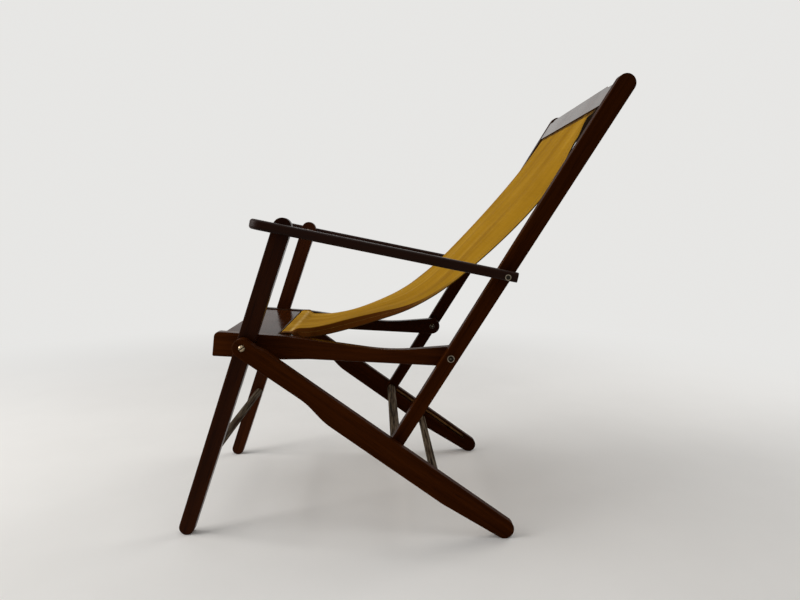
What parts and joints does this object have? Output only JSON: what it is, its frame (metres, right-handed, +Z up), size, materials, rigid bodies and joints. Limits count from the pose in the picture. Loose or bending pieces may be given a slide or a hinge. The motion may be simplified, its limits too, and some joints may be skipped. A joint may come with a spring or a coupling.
{
  "type": "folding armchair",
  "caption": "Folding wooden armchair with a canvas sling seat and back, crossed legs, flat arms and a back that folds forward flat.",
  "frame": {"origin": "middle of the chair's footprint box on the floor", "axes": "+X to the sitter's left, -Y to the front, +Z up"},
  "size_m": [0.5666, 0.9184, 0.9504],
  "materials": {
    "dark_wood": "dark red-brown varnish, glossy and worn",
    "canvas": "ochre cotton canvas, matt",
    "steel": "dull steel",
    "aged_brass": "tarnished brass"
  },
  "bodies": {
    "seat_frame": {"seat_rail_left": "dark_wood", "seat_rail_right": "dark_wood", "seat_front_board": "dark_wood", "canvas_front_bar": "dark_wood", "front_bar_tacks": "steel", "canvas_sling": "canvas", "front_pivot_bolts": "steel", "front_pivot_nuts": "steel", "front_pivot_washers": "steel", "back_pivot_rivets": "aged_brass", "back_pivot_washers": "aged_brass", "back_pivot_spacers": "steel"},
    "back_frame": {"back_stile_left": "dark_wood", "back_stile_right": "dark_wood", "crest_rail": "dark_wood", "crest_tacks": "steel", "arm_pivot_bolts": "aged_brass", "arm_pivot_nuts": "steel", "arm_pivot_washers": "steel"},
    "foot_bar": {"foot_bar": "dark_wood", "foot_bar_pins": "steel"},
    "rear_legs": {"rear_leg_left": "dark_wood", "rear_leg_right": "dark_wood", "rear_stretcher": "dark_wood", "rear_pivot_bolts": "aged_brass", "rear_pivot_washers": "steel"},
    "front_legs": {"front_leg_left": "dark_wood", "front_leg_right": "dark_wood", "front_stretcher": "dark_wood", "arm_front_screws": "steel", "arm_front_washers": "steel"},
    "arms": {"arm_left": "dark_wood", "arm_right": "dark_wood", "arm_front_inserts": "aged_brass"}
  },
  "joints": [
    {"name": "back_fold", "type": "hinge", "parent": "seat_frame", "child": "back_frame", "pos_m": [0, 0.1025, 0.376], "axis": [1, 0, 0], "range_deg": [0, 106], "deforming": ["canvas_sling"]},
    {"name": "foot_bar_turn", "type": "hinge", "parent": "back_frame", "child": "foot_bar", "pos_m": [0, -0.00816, 0.194], "axis": [1, 0, 0], "range_deg": [-78.97, 0]},
    {"name": "rear_leg_slide", "type": "slide", "parent": "foot_bar", "child": "rear_legs", "axis": [0, -0.8151, 0.5793], "range_m": [0, 0.2592]},
    {"name": "front_leg_fold", "type": "hinge", "parent": "seat_frame", "child": "front_legs", "pos_m": [0, -0.3179, 0.4], "axis": [1, 0, 0], "range_deg": [0, 83.86]},
    {"name": "arm_fold", "type": "hinge", "parent": "back_frame", "child": "arms", "pos_m": [0, 0.20666, 0.54732], "axis": [1, 0, 0], "range_deg": [-104.21, 0]}
  ],
  "couplings": [
    {"joint": "foot_bar_turn", "follows": "back_fold", "ratio": -0.74479},
    {"joint": "rear_leg_slide", "follows": "back_fold", "m_per_rad": 0.14003},
    {"joint": "front_leg_fold", "follows": "back_fold", "ratio": 0.79096},
    {"joint": "arm_fold", "follows": "back_fold", "ratio": -0.98295}
  ]
}
